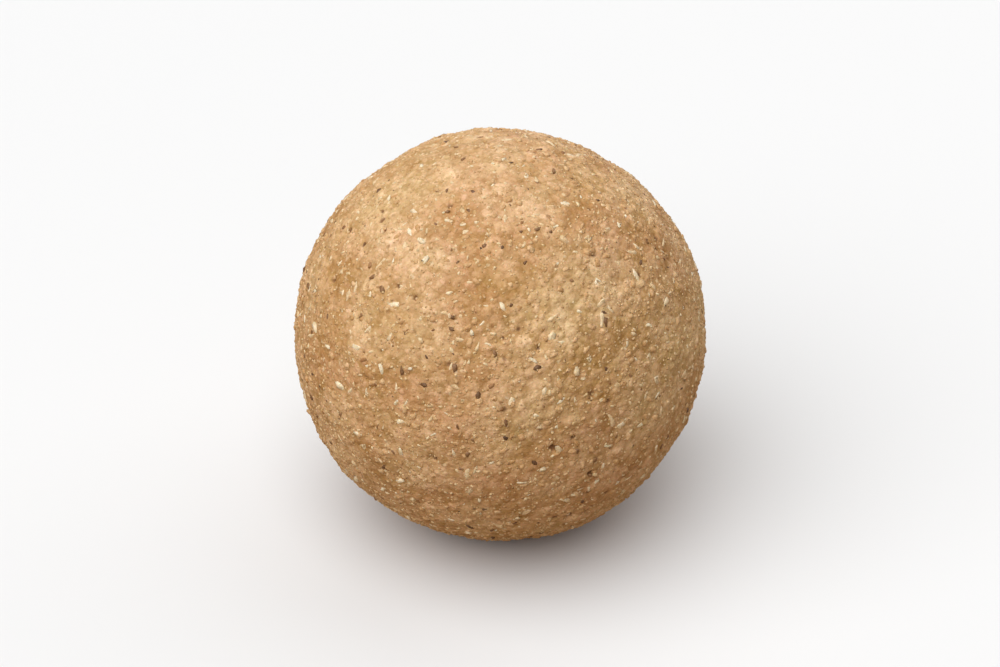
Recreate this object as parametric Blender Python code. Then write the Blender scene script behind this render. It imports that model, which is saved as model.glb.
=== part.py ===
"""Sesame ladoo: one ball of ground sesame and jaggery, rolled by hand between the palms.

It is one closed solid, in metres, with +Z up. The origin is the middle of the small flat spot
that the ball rests on. The palms leave the sphere a little flat in places. Its skin is packed
grains, some of them broken seeds that stand proud, with pits where a grain has come away.
"""

import math
import random

import bmesh
import bpy
from mathutils import Matrix, Vector, kdtree, noise

# Driving dimensions
BALL_DIAMETER = 0.040
REST_SPOT_DIAMETER = 0.012
GRAIN_SPACING = 0.00098
LARGEST_FRAGMENT = 0.0026
LARGEST_PIT = 0.0025

# The rolled ball
BALL_RADIUS = BALL_DIAMETER / 2
SPOT_RADIUS = REST_SPOT_DIAMETER / 2
REST_HEIGHT = -math.sqrt(BALL_RADIUS**2 - SPOT_RADIUS**2)
SWELL_HEIGHT = 0.012 * BALL_RADIUS
SWELLS_ACROSS = 1.3
NOISE_OFFSET = Vector((3.1, -1.7, 8.2))

# The flat places that the palms leave
PRESS_COUNT = 11
SHALLOWEST_PRESS = 0.004 * BALL_RADIUS
DEEPEST_PRESS = 0.018 * BALL_RADIUS
PRESS_SOFTNESS = 0.026 * BALL_RADIUS
PRESS_REACH = 0.5

# The packed grains: each point of the mesh is one
GRAIN_COUNT = round(4 * math.pi * (BALL_RADIUS / GRAIN_SPACING) ** 2)
GRAIN_JITTER = 0.3
GRAIN_ROUGHNESS = 0.00004
CRUMB_HEIGHT = 0.00011
CRUMBS_ACROSS = 6.5

# Broken seeds and pits: one in every few marks is a pit
MARK_COUNT = 230
PIT_EVERY = 8
MARK_JITTER = 0.35
SMALLEST_SHARE = 0.55
MARK_WIDTH_SHARE = 0.62
FRAGMENT_HEIGHT = 0.00022
PIT_DEPTH = 0.0005

GOLDEN_ANGLE = math.pi * (3 - math.sqrt(5))
SEED = 12

SESAME_TAN = (0.560, 0.360, 0.185, 1)
MATT_ROUGHNESS = 0.75


def clear_scene():
    for obj in list(bpy.data.objects):
        bpy.data.objects.remove(obj)


def spread_directions(count, jitter, draw):
    """Unit vectors spread evenly over a sphere along one spiral, each shifted by part of the spacing."""
    spacing = math.sqrt(4 * math.pi / count)
    directions = []
    for index in range(count):
        height = 1 - 2 * (index + 0.5) / count
        across = math.sqrt(1 - height * height)
        turn = index * GOLDEN_ANGLE
        even = Vector((across * math.cos(turn), across * math.sin(turn), height))
        shift = Vector([draw.uniform(-1, 1) for _ in range(3)]) * jitter * spacing
        directions.append((even + shift).normalized())
    return directions


def smooth_minimum(first, second, softness):
    """The smaller of two lengths, with a round change from one to the other."""
    blend = max(0.0, min(1.0, 0.5 + 0.5 * (second - first) / softness))
    return second + (first - second) * blend - softness * blend * (1 - blend)


def palm_presses(draw):
    """Each flat place as (direction, distance of its plane from the ball's middle)."""
    presses = []
    for direction in spread_directions(PRESS_COUNT, 0, draw):
        depth = draw.uniform(SHALLOWEST_PRESS, DEEPEST_PRESS)
        presses.append((direction, BALL_RADIUS - depth))
    return presses


def rolled_radius(direction, presses):
    """How far the smoothly rolled surface lies from the ball's middle in one direction."""
    radius = BALL_RADIUS
    radius += SWELL_HEIGHT * noise.noise(direction * SWELLS_ACROSS + NOISE_OFFSET)
    for towards, plane in presses:
        facing = direction.dot(towards)
        if facing > PRESS_REACH:
            radius = smooth_minimum(radius, plane / facing, PRESS_SOFTNESS)
    return radius


def surface_marks(draw):
    """The broken seeds and pits, each as (direction, its long way, half its length, its height)."""
    marks = []
    for index, direction in enumerate(spread_directions(MARK_COUNT, MARK_JITTER, draw)):
        is_pit = index % PIT_EVERY == 0
        share = draw.uniform(SMALLEST_SHARE, 1)
        half_length = share * (LARGEST_PIT if is_pit else LARGEST_FRAGMENT) / 2
        height = share * (-PIT_DEPTH if is_pit else FRAGMENT_HEIGHT)
        aslant = Vector([draw.uniform(-1, 1) for _ in range(3)])
        marks.append((direction, direction.cross(aslant).normalized(), half_length, height))
    return marks


def mark_finder(marks):
    finder = kdtree.KDTree(len(marks))
    for index, mark in enumerate(marks):
        finder.insert(mark[0], index)
    finder.balance()
    return finder


def mark_height(direction, marks, finder):
    """How much the nearest broken seed or pit lifts or sinks the skin: a low dome or bowl, longer than wide."""
    _, index, _ = finder.find(direction)
    middle, along, half_length, height = marks[index]
    offset = (direction - middle) * BALL_RADIUS
    length_share = offset.dot(along) / half_length
    width_share = offset.dot(along.cross(middle)) / (half_length * MARK_WIDTH_SHARE)
    return height * math.sqrt(max(0.0, 1 - length_share**2 - width_share**2))


def grain_height(direction, draw):
    """The unevenness of the packed grains: soft crumbs, with each grain a little in or out."""
    crumbs = noise.noise(direction * CRUMBS_ACROSS - NOISE_OFFSET)
    return CRUMB_HEIGHT * crumbs + draw.gauss(0, GRAIN_ROUGHNESS)


def granular_ball(draw):
    """The whole ball: a net of grains over a sphere, each moved out to the rolled and grained surface."""
    presses = palm_presses(draw)
    marks = surface_marks(draw)
    finder = mark_finder(marks)
    mesh = bmesh.new()
    for direction in spread_directions(GRAIN_COUNT, GRAIN_JITTER, draw):
        mesh.verts.new(direction)
    bmesh.ops.convex_hull(mesh, input=mesh.verts[:])
    for vertex in mesh.verts:
        direction = vertex.co.copy()
        radius = rolled_radius(direction, presses)
        radius += grain_height(direction, draw) + mark_height(direction, marks, finder)
        vertex.co = direction * radius
        vertex.co.z = max(vertex.co.z, REST_HEIGHT)
    bmesh.ops.recalc_face_normals(mesh, faces=mesh.faces[:])
    data = bpy.data.meshes.new("ladoo")
    mesh.to_mesh(data)
    mesh.free()
    data.shade_smooth()
    ball = bpy.data.objects.new("ladoo", data)
    bpy.context.scene.collection.objects.link(ball)
    return ball


def stand_at_origin(ball):
    """Moves the mesh so that the flat spot lies at height 0 and the ball is centred over the origin."""
    points = [vertex.co for vertex in ball.data.vertices]
    low = Vector([min(point[axis] for point in points) for axis in range(3)])
    high = Vector([max(point[axis] for point in points) for axis in range(3)])
    middle = (low + high) / 2
    ball.data.transform(Matrix.Translation((-middle.x, -middle.y, -low.z)))


def sesame_material():
    material = bpy.data.materials.new("ground_sesame")
    material.use_nodes = True
    shader = material.node_tree.nodes["Principled BSDF"]
    shader.inputs["Base Color"].default_value = SESAME_TAN
    shader.inputs["Roughness"].default_value = MATT_ROUGHNESS
    shader.inputs["Metallic"].default_value = 0
    return material


def main():
    clear_scene()
    ball = granular_ball(random.Random(SEED))
    stand_at_origin(ball)
    ball.data.materials.append(sesame_material())


main()
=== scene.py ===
import math

import bpy
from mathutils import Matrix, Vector


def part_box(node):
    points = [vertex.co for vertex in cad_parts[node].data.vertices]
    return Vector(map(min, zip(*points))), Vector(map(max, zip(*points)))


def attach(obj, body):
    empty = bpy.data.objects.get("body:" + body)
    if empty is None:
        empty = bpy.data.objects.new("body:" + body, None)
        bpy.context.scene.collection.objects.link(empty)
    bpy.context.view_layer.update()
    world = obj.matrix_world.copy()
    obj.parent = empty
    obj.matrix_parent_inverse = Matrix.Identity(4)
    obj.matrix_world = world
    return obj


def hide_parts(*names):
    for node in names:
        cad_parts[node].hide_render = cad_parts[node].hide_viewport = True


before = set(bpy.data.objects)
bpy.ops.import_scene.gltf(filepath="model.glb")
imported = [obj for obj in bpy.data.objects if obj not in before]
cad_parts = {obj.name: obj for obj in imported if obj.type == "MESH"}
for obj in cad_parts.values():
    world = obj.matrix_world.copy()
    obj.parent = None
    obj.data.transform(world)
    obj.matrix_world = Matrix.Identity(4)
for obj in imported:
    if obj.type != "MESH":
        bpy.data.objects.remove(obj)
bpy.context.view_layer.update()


# The camera stands in front of the ball and looks down on it at the photograph's angle. Its long
# lens keeps the ball's outline as round as the photograph's.
CAMERA_ELEVATION = math.radians(32)
CAMERA_LENS_MM = 100
CAMERA_SENSOR_MM = 36
CAMERA_NEAREST = 0.01
CAMERA_FARTHEST = 10
BALL_SHARE_OF_WIDTH = 0.41

ball_low, ball_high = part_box("ladoo")
ball_radius = (ball_high.x - ball_low.x) / 2
ball_middle = Vector((0, 0, ball_high.z - ball_radius))
picture_width_at_ball = 2 * ball_radius / BALL_SHARE_OF_WIDTH
camera_distance = picture_width_at_ball * CAMERA_LENS_MM / CAMERA_SENSOR_MM
towards_camera = Vector((0, -math.cos(CAMERA_ELEVATION), math.sin(CAMERA_ELEVATION)))

camera_data = bpy.data.cameras.new("camera")
camera_data.lens = CAMERA_LENS_MM
camera_data.sensor_width = CAMERA_SENSOR_MM
camera_data.clip_start = CAMERA_NEAREST
camera_data.clip_end = CAMERA_FARTHEST
camera = bpy.data.objects.new("camera", camera_data)
camera.location = ball_middle + towards_camera * camera_distance
camera.rotation_euler = (-towards_camera).to_track_quat("-Z", "Y").to_euler()
bpy.context.scene.collection.objects.link(camera)
bpy.context.scene.camera = camera


# The ball's skin: sesame ground with jaggery and packed between the palms. Its grains lie side by
# side in soft clumps, rubbed smooth in some places and rough in others, where single grains have
# come away and left small pits. The pits and the hollows between grains are darkened with painted
# shade.
TAN_PALE = (0.735, 0.466, 0.237, 1)
TAN_DEEP = (0.590, 0.330, 0.134, 1)
SEED_CREAM = (0.860, 0.655, 0.395, 1)
JAGGERY_BROWN = (0.380, 0.185, 0.068, 1)
# Painted shade, laid inside the pits:
PAINTED_PIT_SHADE = (0.220, 0.100, 0.036, 1)
# Painted shade, laid in the hollows between grains:
PAINTED_HOLLOW_SHADE = (0.380, 0.190, 0.072, 1)

NET_POINTS_PER_SIDE = 129
FACET_SMOOTHING = 24
SWELL_SIZE = 0.0040
SWELL_HEIGHT = 0.00040
CLUMP_SIZE = 0.0026
CLUMP_HEIGHT = 0.00008
GRAIN_SIZE = 0.00110
GRAIN_HEIGHT = 0.00012
FINE_GRAIN_SIZE = 0.00056
FINE_GRAIN_HEIGHT = 0.00009
DUST_SIZE = 0.00027
RUB_SIZE = 0.0075
PIT_SPACING = 0.0016
PIT_SHARE = 0.34
PIT_REACH = 0.00060
PIT_DEPTH = 0.00045


def fill(tree, socket, value):
    """Gives an input a plain value, or a link from a socket or from a node's first output."""
    if isinstance(value, bpy.types.Node):
        value = next(output for output in value.outputs if output.enabled)
    if isinstance(value, bpy.types.NodeSocket):
        tree.links.new(value, socket)
    else:
        socket.default_value = value


def add(tree, kind, inputs=None, **settings):
    """Adds a node with these settings, and fills the inputs that it shows by their names."""
    node = tree.nodes.new(kind)
    for name, value in settings.items():
        setattr(node, name, value)
    for name, value in (inputs or {}).items():
        socket = next(entry for entry in node.inputs if entry.enabled and entry.name == name)
        fill(tree, socket, value)
    return node


def step_of(tree, kind, operation, values):
    """One step of arithmetic, with its values in the order of the node's inputs."""
    node = tree.nodes.new(kind)
    node.operation = operation
    for socket, value in zip(node.inputs, values):
        fill(tree, socket, value)
    return next(output for output in node.outputs if output.enabled)


def number(tree, operation, *values):
    """One step of arithmetic on numbers."""
    return step_of(tree, "ShaderNodeMath", operation, values)


def vector(tree, operation, *values):
    """One step of arithmetic on vectors."""
    return step_of(tree, "ShaderNodeVectorMath", operation, values)


def scaled(tree, value, factor):
    """A vector made longer or shorter."""
    return add(tree, "ShaderNodeVectorMath", {"Vector": value, "Scale": factor}, operation="SCALE")


def remapped(tree, value, low, high, start=0.0, end=1.0, curve="SMOOTHSTEP"):
    """Takes low..high to start..end, level outside them."""
    inputs = {"Value": value, "From Min": low, "From Max": high, "To Min": start, "To Max": end}
    return add(tree, "ShaderNodeMapRange", inputs, interpolation_type=curve)


def between(tree, share, start, end):
    """The value that lies this share of the way from start to end."""
    return remapped(tree, share, 0.0, 1.0, start, end, curve="LINEAR")


def varied(tree, base, value, middle, factor):
    """A base value, raised or lowered by how far another value lies from its middle."""
    offset = number(tree, "SUBTRACT", value, middle)
    return number(tree, "MULTIPLY_ADD", offset, factor, base)


def mixed(tree, factor, first, second):
    """One colour laid over another."""
    return add(tree, "ShaderNodeMix", {"Factor": factor, "A": first, "B": second}, data_type="RGBA")


def recoloured(tree, color, hue, richness=1.0, shade=1.0):
    """A colour turned in hue, made richer or duller, and made lighter or darker."""
    inputs = {"Hue": hue, "Saturation": richness, "Value": shade, "Color": color}
    return add(tree, "ShaderNodeHueSaturation", inputs)


MIDWAY = 0.5
SAME_HUE = 0.5


def noise(tree, place, size, detail):
    """Soft noise with hills about this size, and this many finer layers on them."""
    scale = number(tree, "DIVIDE", 1.0, size)
    return add(tree, "ShaderNodeTexNoise", {"Vector": place, "Scale": scale, "Detail": detail})


def push(tree, place, size, detail):
    """A short vector that turns softly from place to place."""
    soft = noise(tree, place, size, detail)
    return vector(tree, "SUBTRACT", soft.outputs["Color"], (MIDWAY, MIDWAY, MIDWAY))


def warped(tree, place, size, bend):
    """A place pushed about by soft noise, so that grains lose their straight sides."""
    reach = number(tree, "MULTIPLY", size, bend)
    return vector(tree, "ADD", place, scaled(tree, push(tree, place, size, detail=2.0), reach))


def cells(tree, place, spacing):
    """Points at random, about this far apart: the nearest one's distance and its three chances."""
    scale = number(tree, "DIVIDE", 1.0, spacing)
    cell = add(tree, "ShaderNodeTexVoronoi", {"Vector": place, "Scale": scale})
    chances = add(tree, "ShaderNodeSeparateXYZ", {"Vector": cell.outputs["Color"]})
    return cell.outputs["Distance"], chances.outputs


GRAIN_BEND = 0.8
GRAIN_CROWN = 0.12
GRAIN_FOOT = 0.8
LOWEST_GRAIN_SHARE = 0.25
MEAN_GRAIN_TOP = 0.4


def packed_grains(tree, place, size):
    """Grains side by side: the height of each one's round top, from 1 to 0, and its chances."""
    distance, chances = cells(tree, warped(tree, place, size, GRAIN_BEND), size)
    dome = remapped(tree, distance, GRAIN_CROWN, GRAIN_FOOT, 1.0, 0.0)
    own_height = between(tree, chances["Z"], LOWEST_GRAIN_SHARE, 1.0)
    return number(tree, "MULTIPLY", dome, own_height), chances


PIT_BEND = 0.9
SMALLEST_PIT_SHARE = 0.45


def grain_pits(tree, place, spacing, share, reach):
    """Pits where a grain has come away: 1 at the middle of each one, and 0 outside it."""
    distance, chances = cells(tree, warped(tree, place, reach, PIT_BEND), spacing)
    own_share = between(tree, chances["Y"], SMALLEST_PIT_SHARE, 1.0)
    own_reach = number(tree, "MULTIPLY", reach, own_share)
    depth = remapped(tree, number(tree, "MULTIPLY", distance, spacing), 0.0, own_reach, 1.0, 0.0)
    return number(tree, "MULTIPLY", depth, number(tree, "LESS_THAN", chances["X"], share))


AMOUNT = "NodeSocketFloat"
COUNT = "NodeSocketInt"
COLOR = "NodeSocketColor"
PLACE = "NodeSocketVector"
OBJECT = "NodeSocketObject"
MATERIAL = "NodeSocketMaterial"
GEOMETRY = "NodeSocketGeometry"


def new_tree(name, kind, inputs, outputs):
    """A node tree with named inputs and outputs. An input's type may be followed by its value."""
    tree = bpy.data.node_groups.new(name, kind)
    for label, socket_type, *value in inputs:
        socket = tree.interface.new_socket(label, in_out="INPUT", socket_type=socket_type)
        if value:
            socket.default_value = value[0]
    for label, socket_type in outputs:
        tree.interface.new_socket(label, in_out="OUTPUT", socket_type=socket_type)
    return tree, tree.nodes.new("NodeGroupInput").outputs, tree.nodes.new("NodeGroupOutput").inputs


DARK_RICHNESS = 0.38

grain_tints_and_shade, given, result = new_tree(
    "Grain Tints and Shade",
    "ShaderNodeTree",
    [
        ("Place", PLACE),
        ("Grain Size", AMOUNT),
        ("Color", COLOR),
        ("Contrast", AMOUNT),
        ("Warmth", AMOUNT),
        ("Crevice", AMOUNT),
    ],
    [("Color", COLOR), ("Height", AMOUNT)],
)
top, chances = packed_grains(grain_tints_and_shade, given["Place"], given["Grain Size"])
own_shade = varied(grain_tints_and_shade, 1.0, chances["X"], MIDWAY, given["Contrast"])
# Painted shade: a grain is darker low between its neighbours and lighter on its top, and richer in
# colour where darker.
crevice_shade = varied(grain_tints_and_shade, 1.0, top, MEAN_GRAIN_TOP, given["Crevice"])
shade = number(grain_tints_and_shade, "MULTIPLY", own_shade, crevice_shade)
richness = number(grain_tints_and_shade, "MULTIPLY_ADD", shade, -DARK_RICHNESS, 1 + DARK_RICHNESS)
hue = varied(grain_tints_and_shade, SAME_HUE, chances["Y"], MIDWAY, given["Warmth"])
fill(grain_tints_and_shade, result["Color"], recoloured(grain_tints_and_shade, given["Color"], hue, richness, shade))
fill(grain_tints_and_shade, result["Height"], top)

FLECK_BEND = 1.1
FLECK_CORE_SHARE = 0.5
SMALLEST_FLECK_SHARE = 0.5
FAINTEST_FLECK_SHARE = 0.3

flecks, given, result = new_tree(
    "Flecks",
    "ShaderNodeTree",
    [
        ("Place", PLACE),
        ("Spacing", AMOUNT),
        ("Share", AMOUNT),
        ("Reach", AMOUNT),
        ("Strength", AMOUNT),
        ("Color", COLOR),
        ("Fleck Color", COLOR),
    ],
    [("Color", COLOR)],
)
half_spacing = number(flecks, "MULTIPLY", given["Spacing"], 0.5)
bent_place = warped(flecks, given["Place"], half_spacing, FLECK_BEND)
distance, chances = cells(flecks, bent_place, given["Spacing"])
own_size = between(flecks, chances["Y"], SMALLEST_FLECK_SHARE, 1.0)
own_reach = number(flecks, "MULTIPLY", given["Reach"], own_size)
own_force = between(flecks, chances["Z"], FAINTEST_FLECK_SHARE, 1.0)
own_strength = number(flecks, "MULTIPLY", given["Strength"], own_force)
core = number(flecks, "MULTIPLY", own_reach, FLECK_CORE_SHARE)
spot = remapped(flecks, distance, core, own_reach, own_strength, 0.0)
is_fleck = number(flecks, "LESS_THAN", chances["X"], given["Share"])
fleck_mask = number(flecks, "MULTIPLY", spot, is_fleck)
flecked = mixed(flecks, fleck_mask, given["Color"], given["Fleck Color"])
fill(flecks, result["Color"], flecked)


def new_finish(name):
    """A material, its tree and its Principled shader."""
    material = bpy.data.materials.new(name)
    material.use_nodes = True
    return material, material.node_tree, material.node_tree.nodes["Principled BSDF"]


def attribute(tree, name):
    """A value that the mesh holds at each point."""
    return add(tree, "ShaderNodeAttribute", attribute_name=name)


def grouped(tree, group, **inputs):
    """Places a shared effect in a material, with this material's own values."""
    node = tree.nodes.new("ShaderNodeGroup")
    node.node_tree = group
    for name, value in inputs.items():
        fill(tree, node.inputs[name.replace("_", " ")], value)
    return node


def give_bumps(tree, shader, height, strength, distance):
    """Gives a shader relief that is too fine for the mesh."""
    inputs = {"Strength": strength, "Distance": distance, "Height": height}
    fill(tree, shader.inputs["Normal"], add(tree, "ShaderNodeBump", inputs))


def let_light_in(shader, weight, color_reach, depth):
    """Lets some light travel just below the surface, red light the farthest."""
    shader.inputs["Subsurface Weight"].default_value = weight
    shader.inputs["Subsurface Radius"].default_value = color_reach
    shader.inputs["Subsurface Scale"].default_value = depth


MOTTLE_SIZE = 0.0060
MOTTLE_DEEP_BELOW = 0.34
MOTTLE_PALE_ABOVE = 0.66
CLOUD_SIZE = 0.0017
CLOUD_EDGE = 0.45
CLOUD_CORE = 0.72
CLOUD_STRENGTH = 0.7
DRIFT_SIZE = 0.012
DRIFT_HUE = 0.024

mass, tree, shader = new_finish("ground sesame and jaggery")
place = attribute(tree, "place").outputs["Vector"]
rough = attribute(tree, "rough").outputs["Fac"]
sunken = attribute(tree, "sunken").outputs["Fac"]
mottle = noise(tree, place, MOTTLE_SIZE, detail=3.0)
pale_mask = remapped(tree, mottle, MOTTLE_DEEP_BELOW, MOTTLE_PALE_ABOVE)
mottled = mixed(tree, pale_mask, TAN_DEEP, TAN_PALE)
cloud = noise(tree, place, CLOUD_SIZE, detail=4.0)
cloud_mask = remapped(tree, cloud, CLOUD_EDGE, CLOUD_CORE, 0.0, CLOUD_STRENGTH)
clouded = mixed(tree, cloud_mask, mottled, TAN_DEEP)
drift = noise(tree, place, DRIFT_SIZE, detail=1.0)
drifted = recoloured(tree, clouded, varied(tree, SAME_HUE, drift, MIDWAY, DRIFT_HUE))
# Each layer of grains adds its own tints and, through Crevice, painted shade between its grains.
clumps = grouped(
    tree,
    grain_tints_and_shade,
    Place=place,
    Grain_Size=CLUMP_SIZE,
    Color=drifted,
    Contrast=0.17,
    Warmth=0.003,
    Crevice=0.05,
)
grains = grouped(
    tree,
    grain_tints_and_shade,
    Place=place,
    Grain_Size=GRAIN_SIZE,
    Color=clumps.outputs["Color"],
    Contrast=0.24,
    Warmth=0.004,
    Crevice=0.12,
)
pale_grit = grouped(
    tree,
    flecks,
    Place=place,
    Spacing=0.00058,
    Share=0.13,
    Reach=0.45,
    Strength=0.8,
    Color=grains.outputs["Color"],
    Fleck_Color=SEED_CREAM,
)
brown_grit = grouped(
    tree,
    flecks,
    Place=place,
    Spacing=0.00074,
    Share=0.12,
    Reach=0.42,
    Strength=0.8,
    Color=pale_grit.outputs["Color"],
    Fleck_Color=JAGGERY_BROWN,
)
fine_grains = grouped(
    tree,
    grain_tints_and_shade,
    Place=place,
    Grain_Size=FINE_GRAIN_SIZE,
    Color=brown_grit.outputs["Color"],
    Contrast=0.23,
    Warmth=0.005,
    Crevice=0.14,
)
dust = grouped(
    tree,
    grain_tints_and_shade,
    Place=place,
    Grain_Size=DUST_SIZE,
    Color=fine_grains.outputs["Color"],
    Contrast=0.20,
    Warmth=0.004,
    Crevice=0.08,
)

HOLLOW_EDGE = 0.3
HOLLOW_BOTTOM = 1.8
HOLLOW_SHADE_STRENGTH = 0.5
PIT_EDGE = 0.1
PIT_BOTTOM = 0.7
PIT_SHADE_STRENGTH = 0.8
RUBBED_ROUGHNESS = 0.60
COARSE_ROUGHNESS = 0.82
GRAIN_BUMP = 0.8
FINE_GRAIN_BUMP = 0.7
DUST_BUMP = 0.35

# Painted shade: darker brown where the skin lies sunken below the skin around it, in its hollows.
painted_hollow_shade_mask = remapped(tree, sunken, HOLLOW_EDGE, HOLLOW_BOTTOM, 0.0, HOLLOW_SHADE_STRENGTH)
hollow_shaded = mixed(tree, painted_hollow_shade_mask, dust.outputs["Color"], PAINTED_HOLLOW_SHADE)
# Painted shade: the pits in the rough parts of the skin are darkened to a deep brown inside.
all_pits = grain_pits(tree, place, PIT_SPACING, PIT_SHARE, PIT_REACH)
rough_pits = number(tree, "MULTIPLY", all_pits, rough)
pit_shade_mask = remapped(tree, rough_pits, PIT_EDGE, PIT_BOTTOM, 0.0, PIT_SHADE_STRENGTH)
fill(tree, shader.inputs["Base Color"], mixed(tree, pit_shade_mask, hollow_shaded, PAINTED_PIT_SHADE))
roughness = between(tree, rough, RUBBED_ROUGHNESS, COARSE_ROUGHNESS)
fill(tree, shader.inputs["Roughness"], roughness)
bumps = number(tree, "MULTIPLY", grains.outputs["Height"], GRAIN_BUMP)
bumps = number(tree, "MULTIPLY_ADD", fine_grains.outputs["Height"], FINE_GRAIN_BUMP, bumps)
bumps = number(tree, "MULTIPLY_ADD", dust.outputs["Height"], DUST_BUMP, bumps)
give_bumps(tree, shader, bumps, strength=0.9, distance=0.00010)
let_light_in(shader, weight=0.12, color_reach=(1.0, 0.5, 0.2), depth=0.0007)


def grown_piece(name, tree, values):
    """A plain mesh object, grown by a geometry tree with these values for its named inputs."""
    piece = bpy.data.objects.new(name, bpy.data.meshes.new(name))
    bpy.context.scene.collection.objects.link(piece)
    modifier = piece.modifiers.new(name, "NODES")
    modifier.node_group = tree
    identifiers = {
        item.name: item.identifier
        for item in tree.interface.items_tree
        if item.item_type == "SOCKET" and item.in_out == "INPUT"
    }
    for label, value in values.items():
        modifier[identifiers[label]] = value
    graph = bpy.context.evaluated_depsgraph_get()
    made = bpy.data.meshes.new_from_object(
        piece.evaluated_get(graph), preserve_all_data_layers=True, depsgraph=graph
    )
    piece.modifiers.remove(modifier)
    piece.data = made
    made.name = name
    return piece


def stored(tree, geometry, name, value, data_type="FLOAT", domain="POINT"):
    """Keeps a value on the geometry, for its material to read."""
    inputs = {"Geometry": geometry, "Name": name, "Value": value}
    return add(tree, "GeometryNodeStoreNamedAttribute", inputs, data_type=data_type, domain=domain)


def end_tree(tree, geometry, material, result):
    """Ends a geometry tree: its instances are made real, and it gets its material."""
    realized = add(tree, "GeometryNodeRealizeInstances", {"Geometry": geometry})
    inputs = {"Geometry": realized, "Material": material}
    fill(tree, result, add(tree, "GeometryNodeSetMaterial", inputs))


skin_tree, given, result = new_tree(
    "Packed Skin",
    "GeometryNodeTree",
    [
        ("Solid", OBJECT),
        ("Middle", PLACE),
        ("Radius", AMOUNT),
        ("Net Points per Side", COUNT, NET_POINTS_PER_SIDE),
        ("Facet Smoothing", COUNT, FACET_SMOOTHING),
        ("Swell Size", AMOUNT, SWELL_SIZE),
        ("Swell Height", AMOUNT, SWELL_HEIGHT),
        ("Clump Size", AMOUNT, CLUMP_SIZE),
        ("Clump Height", AMOUNT, CLUMP_HEIGHT),
        ("Grain Size", AMOUNT, GRAIN_SIZE),
        ("Grain Height", AMOUNT, GRAIN_HEIGHT),
        ("Fine Grain Size", AMOUNT, FINE_GRAIN_SIZE),
        ("Fine Grain Height", AMOUNT, FINE_GRAIN_HEIGHT),
        ("Rub Size", AMOUNT, RUB_SIZE),
        ("Pit Spacing", AMOUNT, PIT_SPACING),
        ("Pit Share", AMOUNT, PIT_SHARE),
        ("Pit Reach", AMOUNT, PIT_REACH),
        ("Pit Depth", AMOUNT, PIT_DEPTH),
        ("Material", MATERIAL),
    ],
    [("Geometry", GEOMETRY)],
)

CUBE_SIZE = (2, 2, 2)
WELD_DISTANCE = 1e-6
RAY_LENGTH = 0.1

sides = given["Net Points per Side"]
cube = add(
    skin_tree,
    "GeometryNodeMeshCube",
    {"Size": CUBE_SIZE, "Vertices X": sides, "Vertices Y": sides, "Vertices Z": sides},
)
on_cube = add(skin_tree, "GeometryNodeInputPosition")
even_angles = vector(skin_tree, "TANGENT", scaled(skin_tree, on_cube, math.pi / 4))
on_sphere = vector(skin_tree, "NORMALIZE", even_angles)
net = add(skin_tree, "GeometryNodeSetPosition", {"Geometry": cube, "Position": on_sphere})
direction = add(skin_tree, "GeometryNodeInputPosition")
place = scaled(skin_tree, direction, given["Radius"])

solid = add(
    skin_tree, "GeometryNodeObjectInfo", {"Object": given["Solid"], "As Instance": False}
)
welded = add(
    skin_tree,
    "GeometryNodeMergeByDistance",
    {"Geometry": solid.outputs["Geometry"], "Distance": WELD_DISTANCE},
)
ray = add(
    skin_tree,
    "GeometryNodeRaycast",
    {
        "Target Geometry": welded,
        "Source Position": given["Middle"],
        "Ray Direction": direction,
        "Ray Length": RAY_LENGTH,
    },
)
rolled = add(
    skin_tree,
    "GeometryNodeBlurAttribute",
    {"Value": ray.outputs["Hit Distance"], "Iterations": given["Facet Smoothing"]},
    data_type="FLOAT",
)

RUBBED_BELOW = 0.38
COARSE_ABOVE = 0.60
RUBBED_RELIEF = 0.6
COARSE_RELIEF = 1.2
MEAN_RELIEF_SHARE = 0.7
HOLLOW_SMOOTHING = 10
HOLLOW_DEPTH = 0.00010
LOWEST_PLACE = (-1, -1, 0)


def grain_relief(size, height):
    """How far round grains of this size stand up."""
    top, _ = packed_grains(skin_tree, place, size)
    return number(skin_tree, "MULTIPLY", top, height)


rub = noise(skin_tree, place, given["Rub Size"], detail=2.0)
rough = remapped(skin_tree, rub, RUBBED_BELOW, COARSE_ABOVE)
grains = number(
    skin_tree,
    "ADD",
    grain_relief(given["Grain Size"], given["Grain Height"]),
    grain_relief(given["Fine Grain Size"], given["Fine Grain Height"]),
)
own_relief = between(skin_tree, rough, RUBBED_RELIEF, COARSE_RELIEF)
rubbed_grains = number(skin_tree, "MULTIPLY", grains, own_relief)
clumps = grain_relief(given["Clump Size"], given["Clump Height"])
swell = noise(skin_tree, place, given["Swell Size"], detail=4.0)
swells = varied(skin_tree, 0.0, swell, MIDWAY, given["Swell Height"])
raised = number(skin_tree, "ADD", number(skin_tree, "ADD", swells, clumps), rubbed_grains)
all_pits = grain_pits(
    skin_tree, place, given["Pit Spacing"], given["Pit Share"], given["Pit Reach"]
)
rough_pits = number(skin_tree, "MULTIPLY", all_pits, rough)
pitted = number(skin_tree, "MULTIPLY", rough_pits, given["Pit Depth"])
relief = number(skin_tree, "SUBTRACT", raised, pitted)
around = add(
    skin_tree,
    "GeometryNodeBlurAttribute",
    {"Value": relief, "Iterations": HOLLOW_SMOOTHING},
    data_type="FLOAT",
)
sunken = number(
    skin_tree, "DIVIDE", number(skin_tree, "SUBTRACT", around, relief), HOLLOW_DEPTH
)
net = stored(skin_tree, net, "place", place, data_type="FLOAT_VECTOR")
net = stored(skin_tree, net, "sunken", sunken)
net = stored(skin_tree, net, "rough", rough)
mean_relief = number(skin_tree, "MULTIPLY", given["Grain Height"], MEAN_RELIEF_SHARE)
reach = number(skin_tree, "ADD", rolled, number(skin_tree, "SUBTRACT", relief, mean_relief))
outer = vector(skin_tree, "ADD", given["Middle"], scaled(skin_tree, direction, reach))
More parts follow.
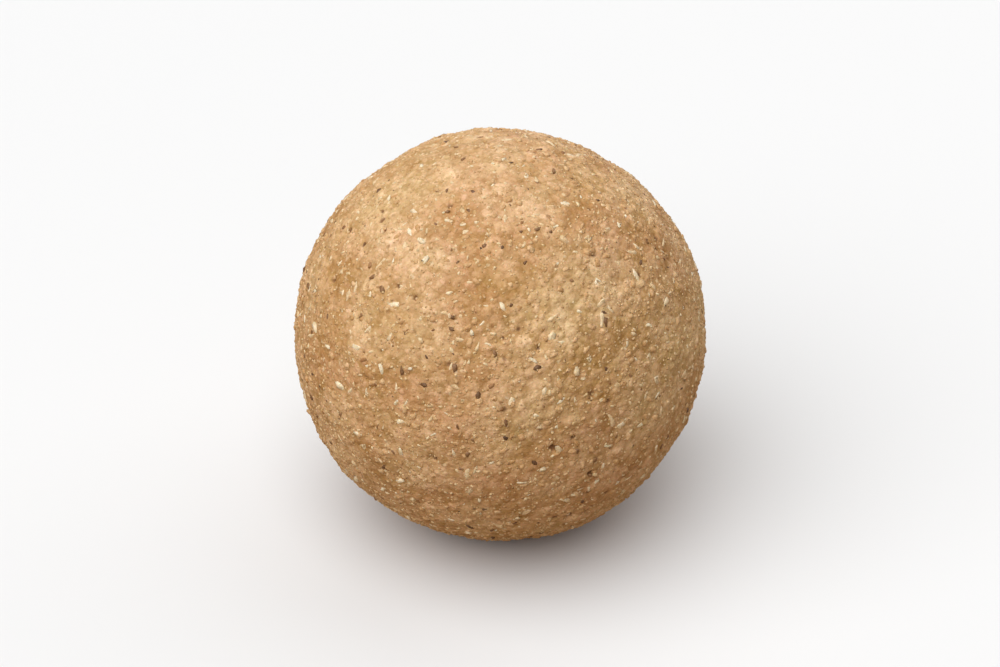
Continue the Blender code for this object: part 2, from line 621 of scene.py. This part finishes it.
above_floor = vector(skin_tree, "MAXIMUM", outer, LOWEST_PLACE)
skin = add(skin_tree, "GeometryNodeSetPosition", {"Geometry": net, "Position": above_floor})
smooth_skin = add(skin_tree, "GeometryNodeSetShadeSmooth", {"Geometry": skin})
end_tree(skin_tree, smooth_skin, given["Material"], result["Geometry"])

skin_piece = grown_piece(
    "ladoo_skin",
    skin_tree,
    {
        "Solid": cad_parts["ladoo"],
        "Middle": ball_middle,
        "Radius": ball_radius,
        "Material": mass,
    },
)
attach(skin_piece, "root")
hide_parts("ladoo")


# Crumbs of the same ground mass, a little darker or paler than the skin. Each is a broken lump,
# pressed into the skin with its flat side out, as the palms left it.
BIT_SHAPES = 6
KNOB_SIZE = 1.1
KNOB_REACH = 1.3
KNOBS_START = Vector((0.0, 3.0, 1.0))
KNOBS_STEP = Vector((7.0, 0.0, 0.0))
BREAK_RISE = 0.4
BREAK_DEPTH = 0.45
TILT = math.radians(16)
FLOOR_CLEARANCE_SHARE = 0.55

bits_tree, given, result = new_tree(
    "Pressed Bits",
    "GeometryNodeTree",
    [
        ("Skin", OBJECT),
        ("Middle", PLACE),
        ("Spacing", AMOUNT),
        ("Per Square Metre", AMOUNT),
        ("Shortest", AMOUNT),
        ("Longest", AMOUNT),
        ("Skew to Small", AMOUNT, 1.0),
        ("Width Share", AMOUNT),
        ("Thickness Share", AMOUNT),
        ("Sunk Share", AMOUNT),
        ("Taper", AMOUNT, 0.0),
        ("Sides", COUNT, 8),
        ("Rings", COUNT, 5),
        ("Seed", COUNT),
        ("Material", MATERIAL),
    ],
    [("Geometry", GEOMETRY)],
)
shapes = bits_tree.nodes.new("GeometryNodeJoinGeometry")
for shape in range(BIT_SHAPES):
    lump = add(
        bits_tree,
        "GeometryNodeMeshUVSphere",
        {"Radius": 1.0, "Segments": given["Sides"], "Rings": given["Rings"]},
    )
    on_lump = add(bits_tree, "GeometryNodeInputPosition")
    own_start = vector(bits_tree, "ADD", on_lump, KNOBS_START + shape * KNOBS_STEP)
    knobs = scaled(bits_tree, push(bits_tree, own_start, KNOB_SIZE, detail=1.0), KNOB_REACH)
    knobbly = vector(bits_tree, "ADD", on_lump, knobs)
    turn = shape * math.tau / BIT_SHAPES
    broken_side = Vector((math.cos(turn), math.sin(turn), BREAK_RISE)).normalized()
    along_break = vector(bits_tree, "DOT_PRODUCT", knobbly, broken_side)
    past_break = number(
        bits_tree, "MAXIMUM", 0.0, number(bits_tree, "SUBTRACT", along_break, BREAK_DEPTH)
    )
    snapped = vector(bits_tree, "SUBTRACT", knobbly, scaled(bits_tree, broken_side, past_break))
    along = add(bits_tree, "ShaderNodeSeparateXYZ", {"Vector": snapped}).outputs
    pointed = remapped(bits_tree, along["X"], -1.0, 1.0)
    narrowing = number(
        bits_tree, "SUBTRACT", 1.0, number(bits_tree, "MULTIPLY", given["Taper"], pointed)
    )
    narrowed = add(
        bits_tree,
        "ShaderNodeCombineXYZ",
        {
            "X": along["X"],
            "Y": number(bits_tree, "MULTIPLY", along["Y"], narrowing),
            "Z": number(bits_tree, "MULTIPLY", along["Z"], narrowing),
        },
    )
    shaped = add(bits_tree, "GeometryNodeSetPosition", {"Geometry": lump, "Position": narrowed})
    smooth = add(bits_tree, "GeometryNodeSetShadeSmooth", {"Geometry": shaped})
    one_shape = add(bits_tree, "GeometryNodeGeometryToInstance", {"Geometry": smooth})
    fill(bits_tree, shapes.inputs["Geometry"], one_shape)

skin_info = add(
    bits_tree, "GeometryNodeObjectInfo", {"Object": given["Skin"], "As Instance": False}
)
on_skin = add(bits_tree, "GeometryNodeInputPosition")
skin_height = add(bits_tree, "ShaderNodeSeparateXYZ", {"Vector": on_skin}).outputs["Z"]
lowest_spot = number(bits_tree, "MULTIPLY", given["Longest"], FLOOR_CLEARANCE_SHARE)
clear_of_floor = number(bits_tree, "GREATER_THAN", skin_height, lowest_spot)
spots = add(
    bits_tree,
    "GeometryNodeDistributePointsOnFaces",
    {
        "Mesh": skin_info.outputs["Geometry"],
        "Distance Min": given["Spacing"],
        "Density Max": given["Per Square Metre"],
        "Density Factor": clear_of_floor,
        "Seed": given["Seed"],
    },
    distribute_method="POISSON",
)


def drawn(low, high, seed, data_type="FLOAT"):
    """A random value for each bit."""
    inputs = {"Min": low, "Max": high, "Seed": seed}
    return add(bits_tree, "FunctionNodeRandomValue", inputs, data_type=data_type)


on_spot = add(bits_tree, "GeometryNodeInputPosition")
outwards = vector(
    bits_tree, "NORMALIZE", vector(bits_tree, "SUBTRACT", on_spot, given["Middle"])
)
facing_out = add(
    bits_tree, "FunctionNodeAlignRotationToVector", {"Vector": outwards}, axis="Z"
)
least_turn = (-TILT, -TILT, 0)
most_turn = (TILT, TILT, math.tau)
any_turn = add(
    bits_tree,
    "FunctionNodeEulerToRotation",
    {"Euler": drawn(least_turn, most_turn, seed=11, data_type="FLOAT_VECTOR")},
)
turned = add(
    bits_tree,
    "FunctionNodeRotateRotation",
    {"Rotation": facing_out, "Rotate By": any_turn},
    rotation_space="LOCAL",
)
own_share = number(bits_tree, "POWER", drawn(0.0, 1.0, seed=12), given["Skew to Small"])
own_length = between(bits_tree, own_share, given["Shortest"], given["Longest"])
half_length = number(bits_tree, "MULTIPLY", own_length, 0.5)
half_width = number(bits_tree, "MULTIPLY", half_length, given["Width Share"])
half_thickness = number(bits_tree, "MULTIPLY", half_length, given["Thickness Share"])
half_sizes = add(
    bits_tree,
    "ShaderNodeCombineXYZ",
    {"X": half_length, "Y": half_width, "Z": half_thickness},
)
sunk = number(bits_tree, "MULTIPLY", half_thickness, given["Sunk Share"])
inwards = scaled(bits_tree, outwards, number(bits_tree, "MULTIPLY", sunk, -1.0))
pressed = add(
    bits_tree,
    "GeometryNodeSetPosition",
    {"Geometry": spots.outputs["Points"], "Offset": inwards},
)
placed = add(
    bits_tree,
    "GeometryNodeInstanceOnPoints",
    {
        "Points": pressed,
        "Instance": shapes,
        "Pick Instance": True,
        "Instance Index": drawn(0, BIT_SHAPES - 1, seed=13, data_type="INT"),
        "Rotation": turned,
        "Scale": half_sizes,
    },
)
tinted = stored(bits_tree, placed, "tint", drawn(0.0, 1.0, seed=14), domain="INSTANCE")
end_tree(bits_tree, tinted, given["Material"], result["Geometry"])


def pressed_in(name, material, **values):
    """One kind of bit, pressed into the skin all over."""
    labels = {label.replace("_", " "): value for label, value in values.items()}
    piece = grown_piece(
        name,
        bits_tree,
        {"Skin": skin_piece, "Middle": ball_middle, "Material": material, **labels},
    )
    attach(piece, "root")


def bit_finish(name, dark, pale, roughness):
    """A bit's material: its own tint between two colours, with fine mottling and a grainy face."""
    material, tree, shader = new_finish(name)
    tint = attribute(tree, "tint").outputs["Fac"]
    # The grains on each bit carry painted shade between them, as in the skin.
    grain = grouped(
        tree,
        grain_tints_and_shade,
        Place=add(tree, "ShaderNodeTexCoord").outputs["Object"],
        Grain_Size=0.00022,
        Color=mixed(tree, tint, dark, pale),
        Contrast=0.3,
        Warmth=0.006,
        Crevice=0.12,
    )
    fill(tree, shader.inputs["Base Color"], grain.outputs["Color"])
    fill(tree, shader.inputs["Roughness"], between(tree, tint, *roughness))
    give_bumps(tree, shader, grain.outputs["Height"], strength=0.8, distance=0.00004)
    let_light_in(shader, weight=0.15, color_reach=(1.0, 0.6, 0.3), depth=0.0005)
    return material


pressed_in(
    "mass_crumbs",
    bit_finish("crumbs of the mass", TAN_DEEP, TAN_PALE, roughness=(0.7, 0.8)),
    Spacing=0.00080,
    Per_Square_Metre=4.2e5,
    Shortest=0.00045,
    Longest=0.00105,
    Width_Share=0.8,
    Thickness_Share=0.5,
    Sunk_Share=0.4,
    Seed=21,
)


# Single grains of the mass, the sandy surface between the crumbs. They are ground sesame, some
# pale and some browned by jaggery, and they cling to the skin.
GRAIN_BROWN = (0.540, 0.308, 0.132, 1)
GRAIN_PALE = (0.820, 0.560, 0.295, 1)

pressed_in(
    "fine_grains",
    bit_finish("single grains", GRAIN_BROWN, GRAIN_PALE, roughness=(0.65, 0.8)),
    Spacing=0.00030,
    Per_Square_Metre=2.6e6,
    Shortest=0.00024,
    Longest=0.00050,
    Width_Share=0.8,
    Thickness_Share=0.6,
    Sunk_Share=0.3,
    Sides=5,
    Rings=3,
    Seed=24,
)


# Broken sesame seeds: hulled and cream, with a pointed end, split or snapped by the grinding. They
# lie flat in the skin, and many show only an edge.
SPLIT_SEED_GOLD = (0.800, 0.545, 0.285, 1)
SPLIT_SEED_CREAM = (0.950, 0.800, 0.560, 1)

pressed_in(
    "sesame_pieces",
    bit_finish("hulled sesame", SPLIT_SEED_GOLD, SPLIT_SEED_CREAM, roughness=(0.45, 0.6)),
    Spacing=0.00090,
    Per_Square_Metre=2.2e5,
    Shortest=0.00055,
    Longest=0.00180,
    Skew_to_Small=1.6,
    Width_Share=0.60,
    Thickness_Share=0.34,
    Sunk_Share=0.45,
    Taper=0.5,
    Sides=9,
    Seed=22,
)


# Sesame grit: small pale chips of the same seeds, ground finer. Each is broken off flat on one
# side, and beds into the skin at any turn.
pressed_in(
    "sesame_grit",
    bit_finish("sesame grit", SPLIT_SEED_GOLD, SEED_CREAM, roughness=(0.5, 0.7)),
    Spacing=0.00090,
    Per_Square_Metre=3.0e5,
    Shortest=0.00030,
    Longest=0.00065,
    Width_Share=0.7,
    Thickness_Share=0.5,
    Sunk_Share=0.35,
    Seed=25,
)


# Jaggery bits: small lumps of caramel-brown cane sugar that did not melt. They are a little
# glossy, and sit deep in the skin.
JAGGERY_DARK = (0.160, 0.070, 0.024, 1)
JAGGERY_CARAMEL = (0.400, 0.195, 0.072, 1)

pressed_in(
    "jaggery_bits",
    bit_finish("jaggery", JAGGERY_DARK, JAGGERY_CARAMEL, roughness=(0.35, 0.55)),
    Spacing=0.00090,
    Per_Square_Metre=4e4,
    Shortest=0.00030,
    Longest=0.00090,
    Skew_to_Small=1.6,
    Width_Share=0.8,
    Thickness_Share=0.6,
    Sunk_Share=0.5,
    Seed=23,
)


# Husk flakes: thin dark scraps of toasted seed coat. Each lies flat on the skin, stuck down by
# the seeds' oil.
HUSK_DARK = (0.100, 0.046, 0.019, 1)
HUSK_TOASTED = (0.360, 0.185, 0.075, 1)

pressed_in(
    "husk_flakes",
    bit_finish("toasted husk", HUSK_DARK, HUSK_TOASTED, roughness=(0.5, 0.7)),
    Spacing=0.00080,
    Per_Square_Metre=6e4,
    Shortest=0.00028,
    Longest=0.00115,
    Skew_to_Small=1.7,
    Width_Share=0.62,
    Thickness_Share=0.20,
    Sunk_Share=0.1,
    Taper=0.15,
    Sides=6,
    Rings=3,
    Seed=26,
)


# The floor and the light: white paper, a broad soft light from the upper left, a weaker one from
# behind and an even dim surround. The paper shows white, but throws back only a dim warm light, so
# that the ball's lower half keeps its depth, and the backdrop behind it is as pale as the paper.
FLOOR_SIZE = 10.0
FLOOR_GAP = 0.00003
PAPER_WHITE = (0.82, 0.82, 0.82, 1)
PAPER_BOUNCE = (0.37, 0.27, 0.18, 1)
PAPER_ROUGHNESS = 0.8
SURROUND_WHITE = (1, 1, 1, 1)
SURROUND_STRENGTH = 0.18
BACKDROP_STRENGTH = 0.97

half = FLOOR_SIZE / 2
floor_mesh = bpy.data.meshes.new("floor")
floor_mesh.from_pydata(
    [(-half, -half, 0), (half, -half, 0), (half, half, 0), (-half, half, 0)], [], [(0, 1, 2, 3)]
)
floor = bpy.data.objects.new("floor", floor_mesh)
floor.location.z = -FLOOR_GAP
bpy.context.scene.collection.objects.link(floor)
paper, tree, shader = new_finish("white paper")
seen = tree.nodes.new("ShaderNodeLightPath").outputs["Is Camera Ray"]
fill(tree, shader.inputs["Base Color"], mixed(tree, seen, PAPER_BOUNCE, PAPER_WHITE))
shader.inputs["Roughness"].default_value = PAPER_ROUGHNESS
floor_mesh.materials.append(paper)

for label, towards_light, spread_degrees, strength in (
    ("key", (-0.36, -0.38, 0.85), 75, 2.9),
    ("back", (0.45, 0.66, 0.60), 90, 1.1),
):
    light = bpy.data.lights.new(label, "SUN")
    light.angle = math.radians(spread_degrees)
    light.energy = strength
    lamp = bpy.data.objects.new(label, light)
    lamp.rotation_euler = Vector(towards_light).to_track_quat("Z", "Y").to_euler()
    bpy.context.scene.collection.objects.link(lamp)

world = bpy.data.worlds.new("surround")
world.use_nodes = True
tree = world.node_tree
background = tree.nodes["Background"]
background.inputs["Color"].default_value = SURROUND_WHITE
seen = tree.nodes.new("ShaderNodeLightPath").outputs["Is Camera Ray"]
seen_strength = between(tree, seen, SURROUND_STRENGTH, BACKDROP_STRENGTH)
fill(tree, background.inputs["Strength"], seen_strength)
bpy.context.scene.world = world
bpy.context.scene.view_settings.view_transform = "Standard"
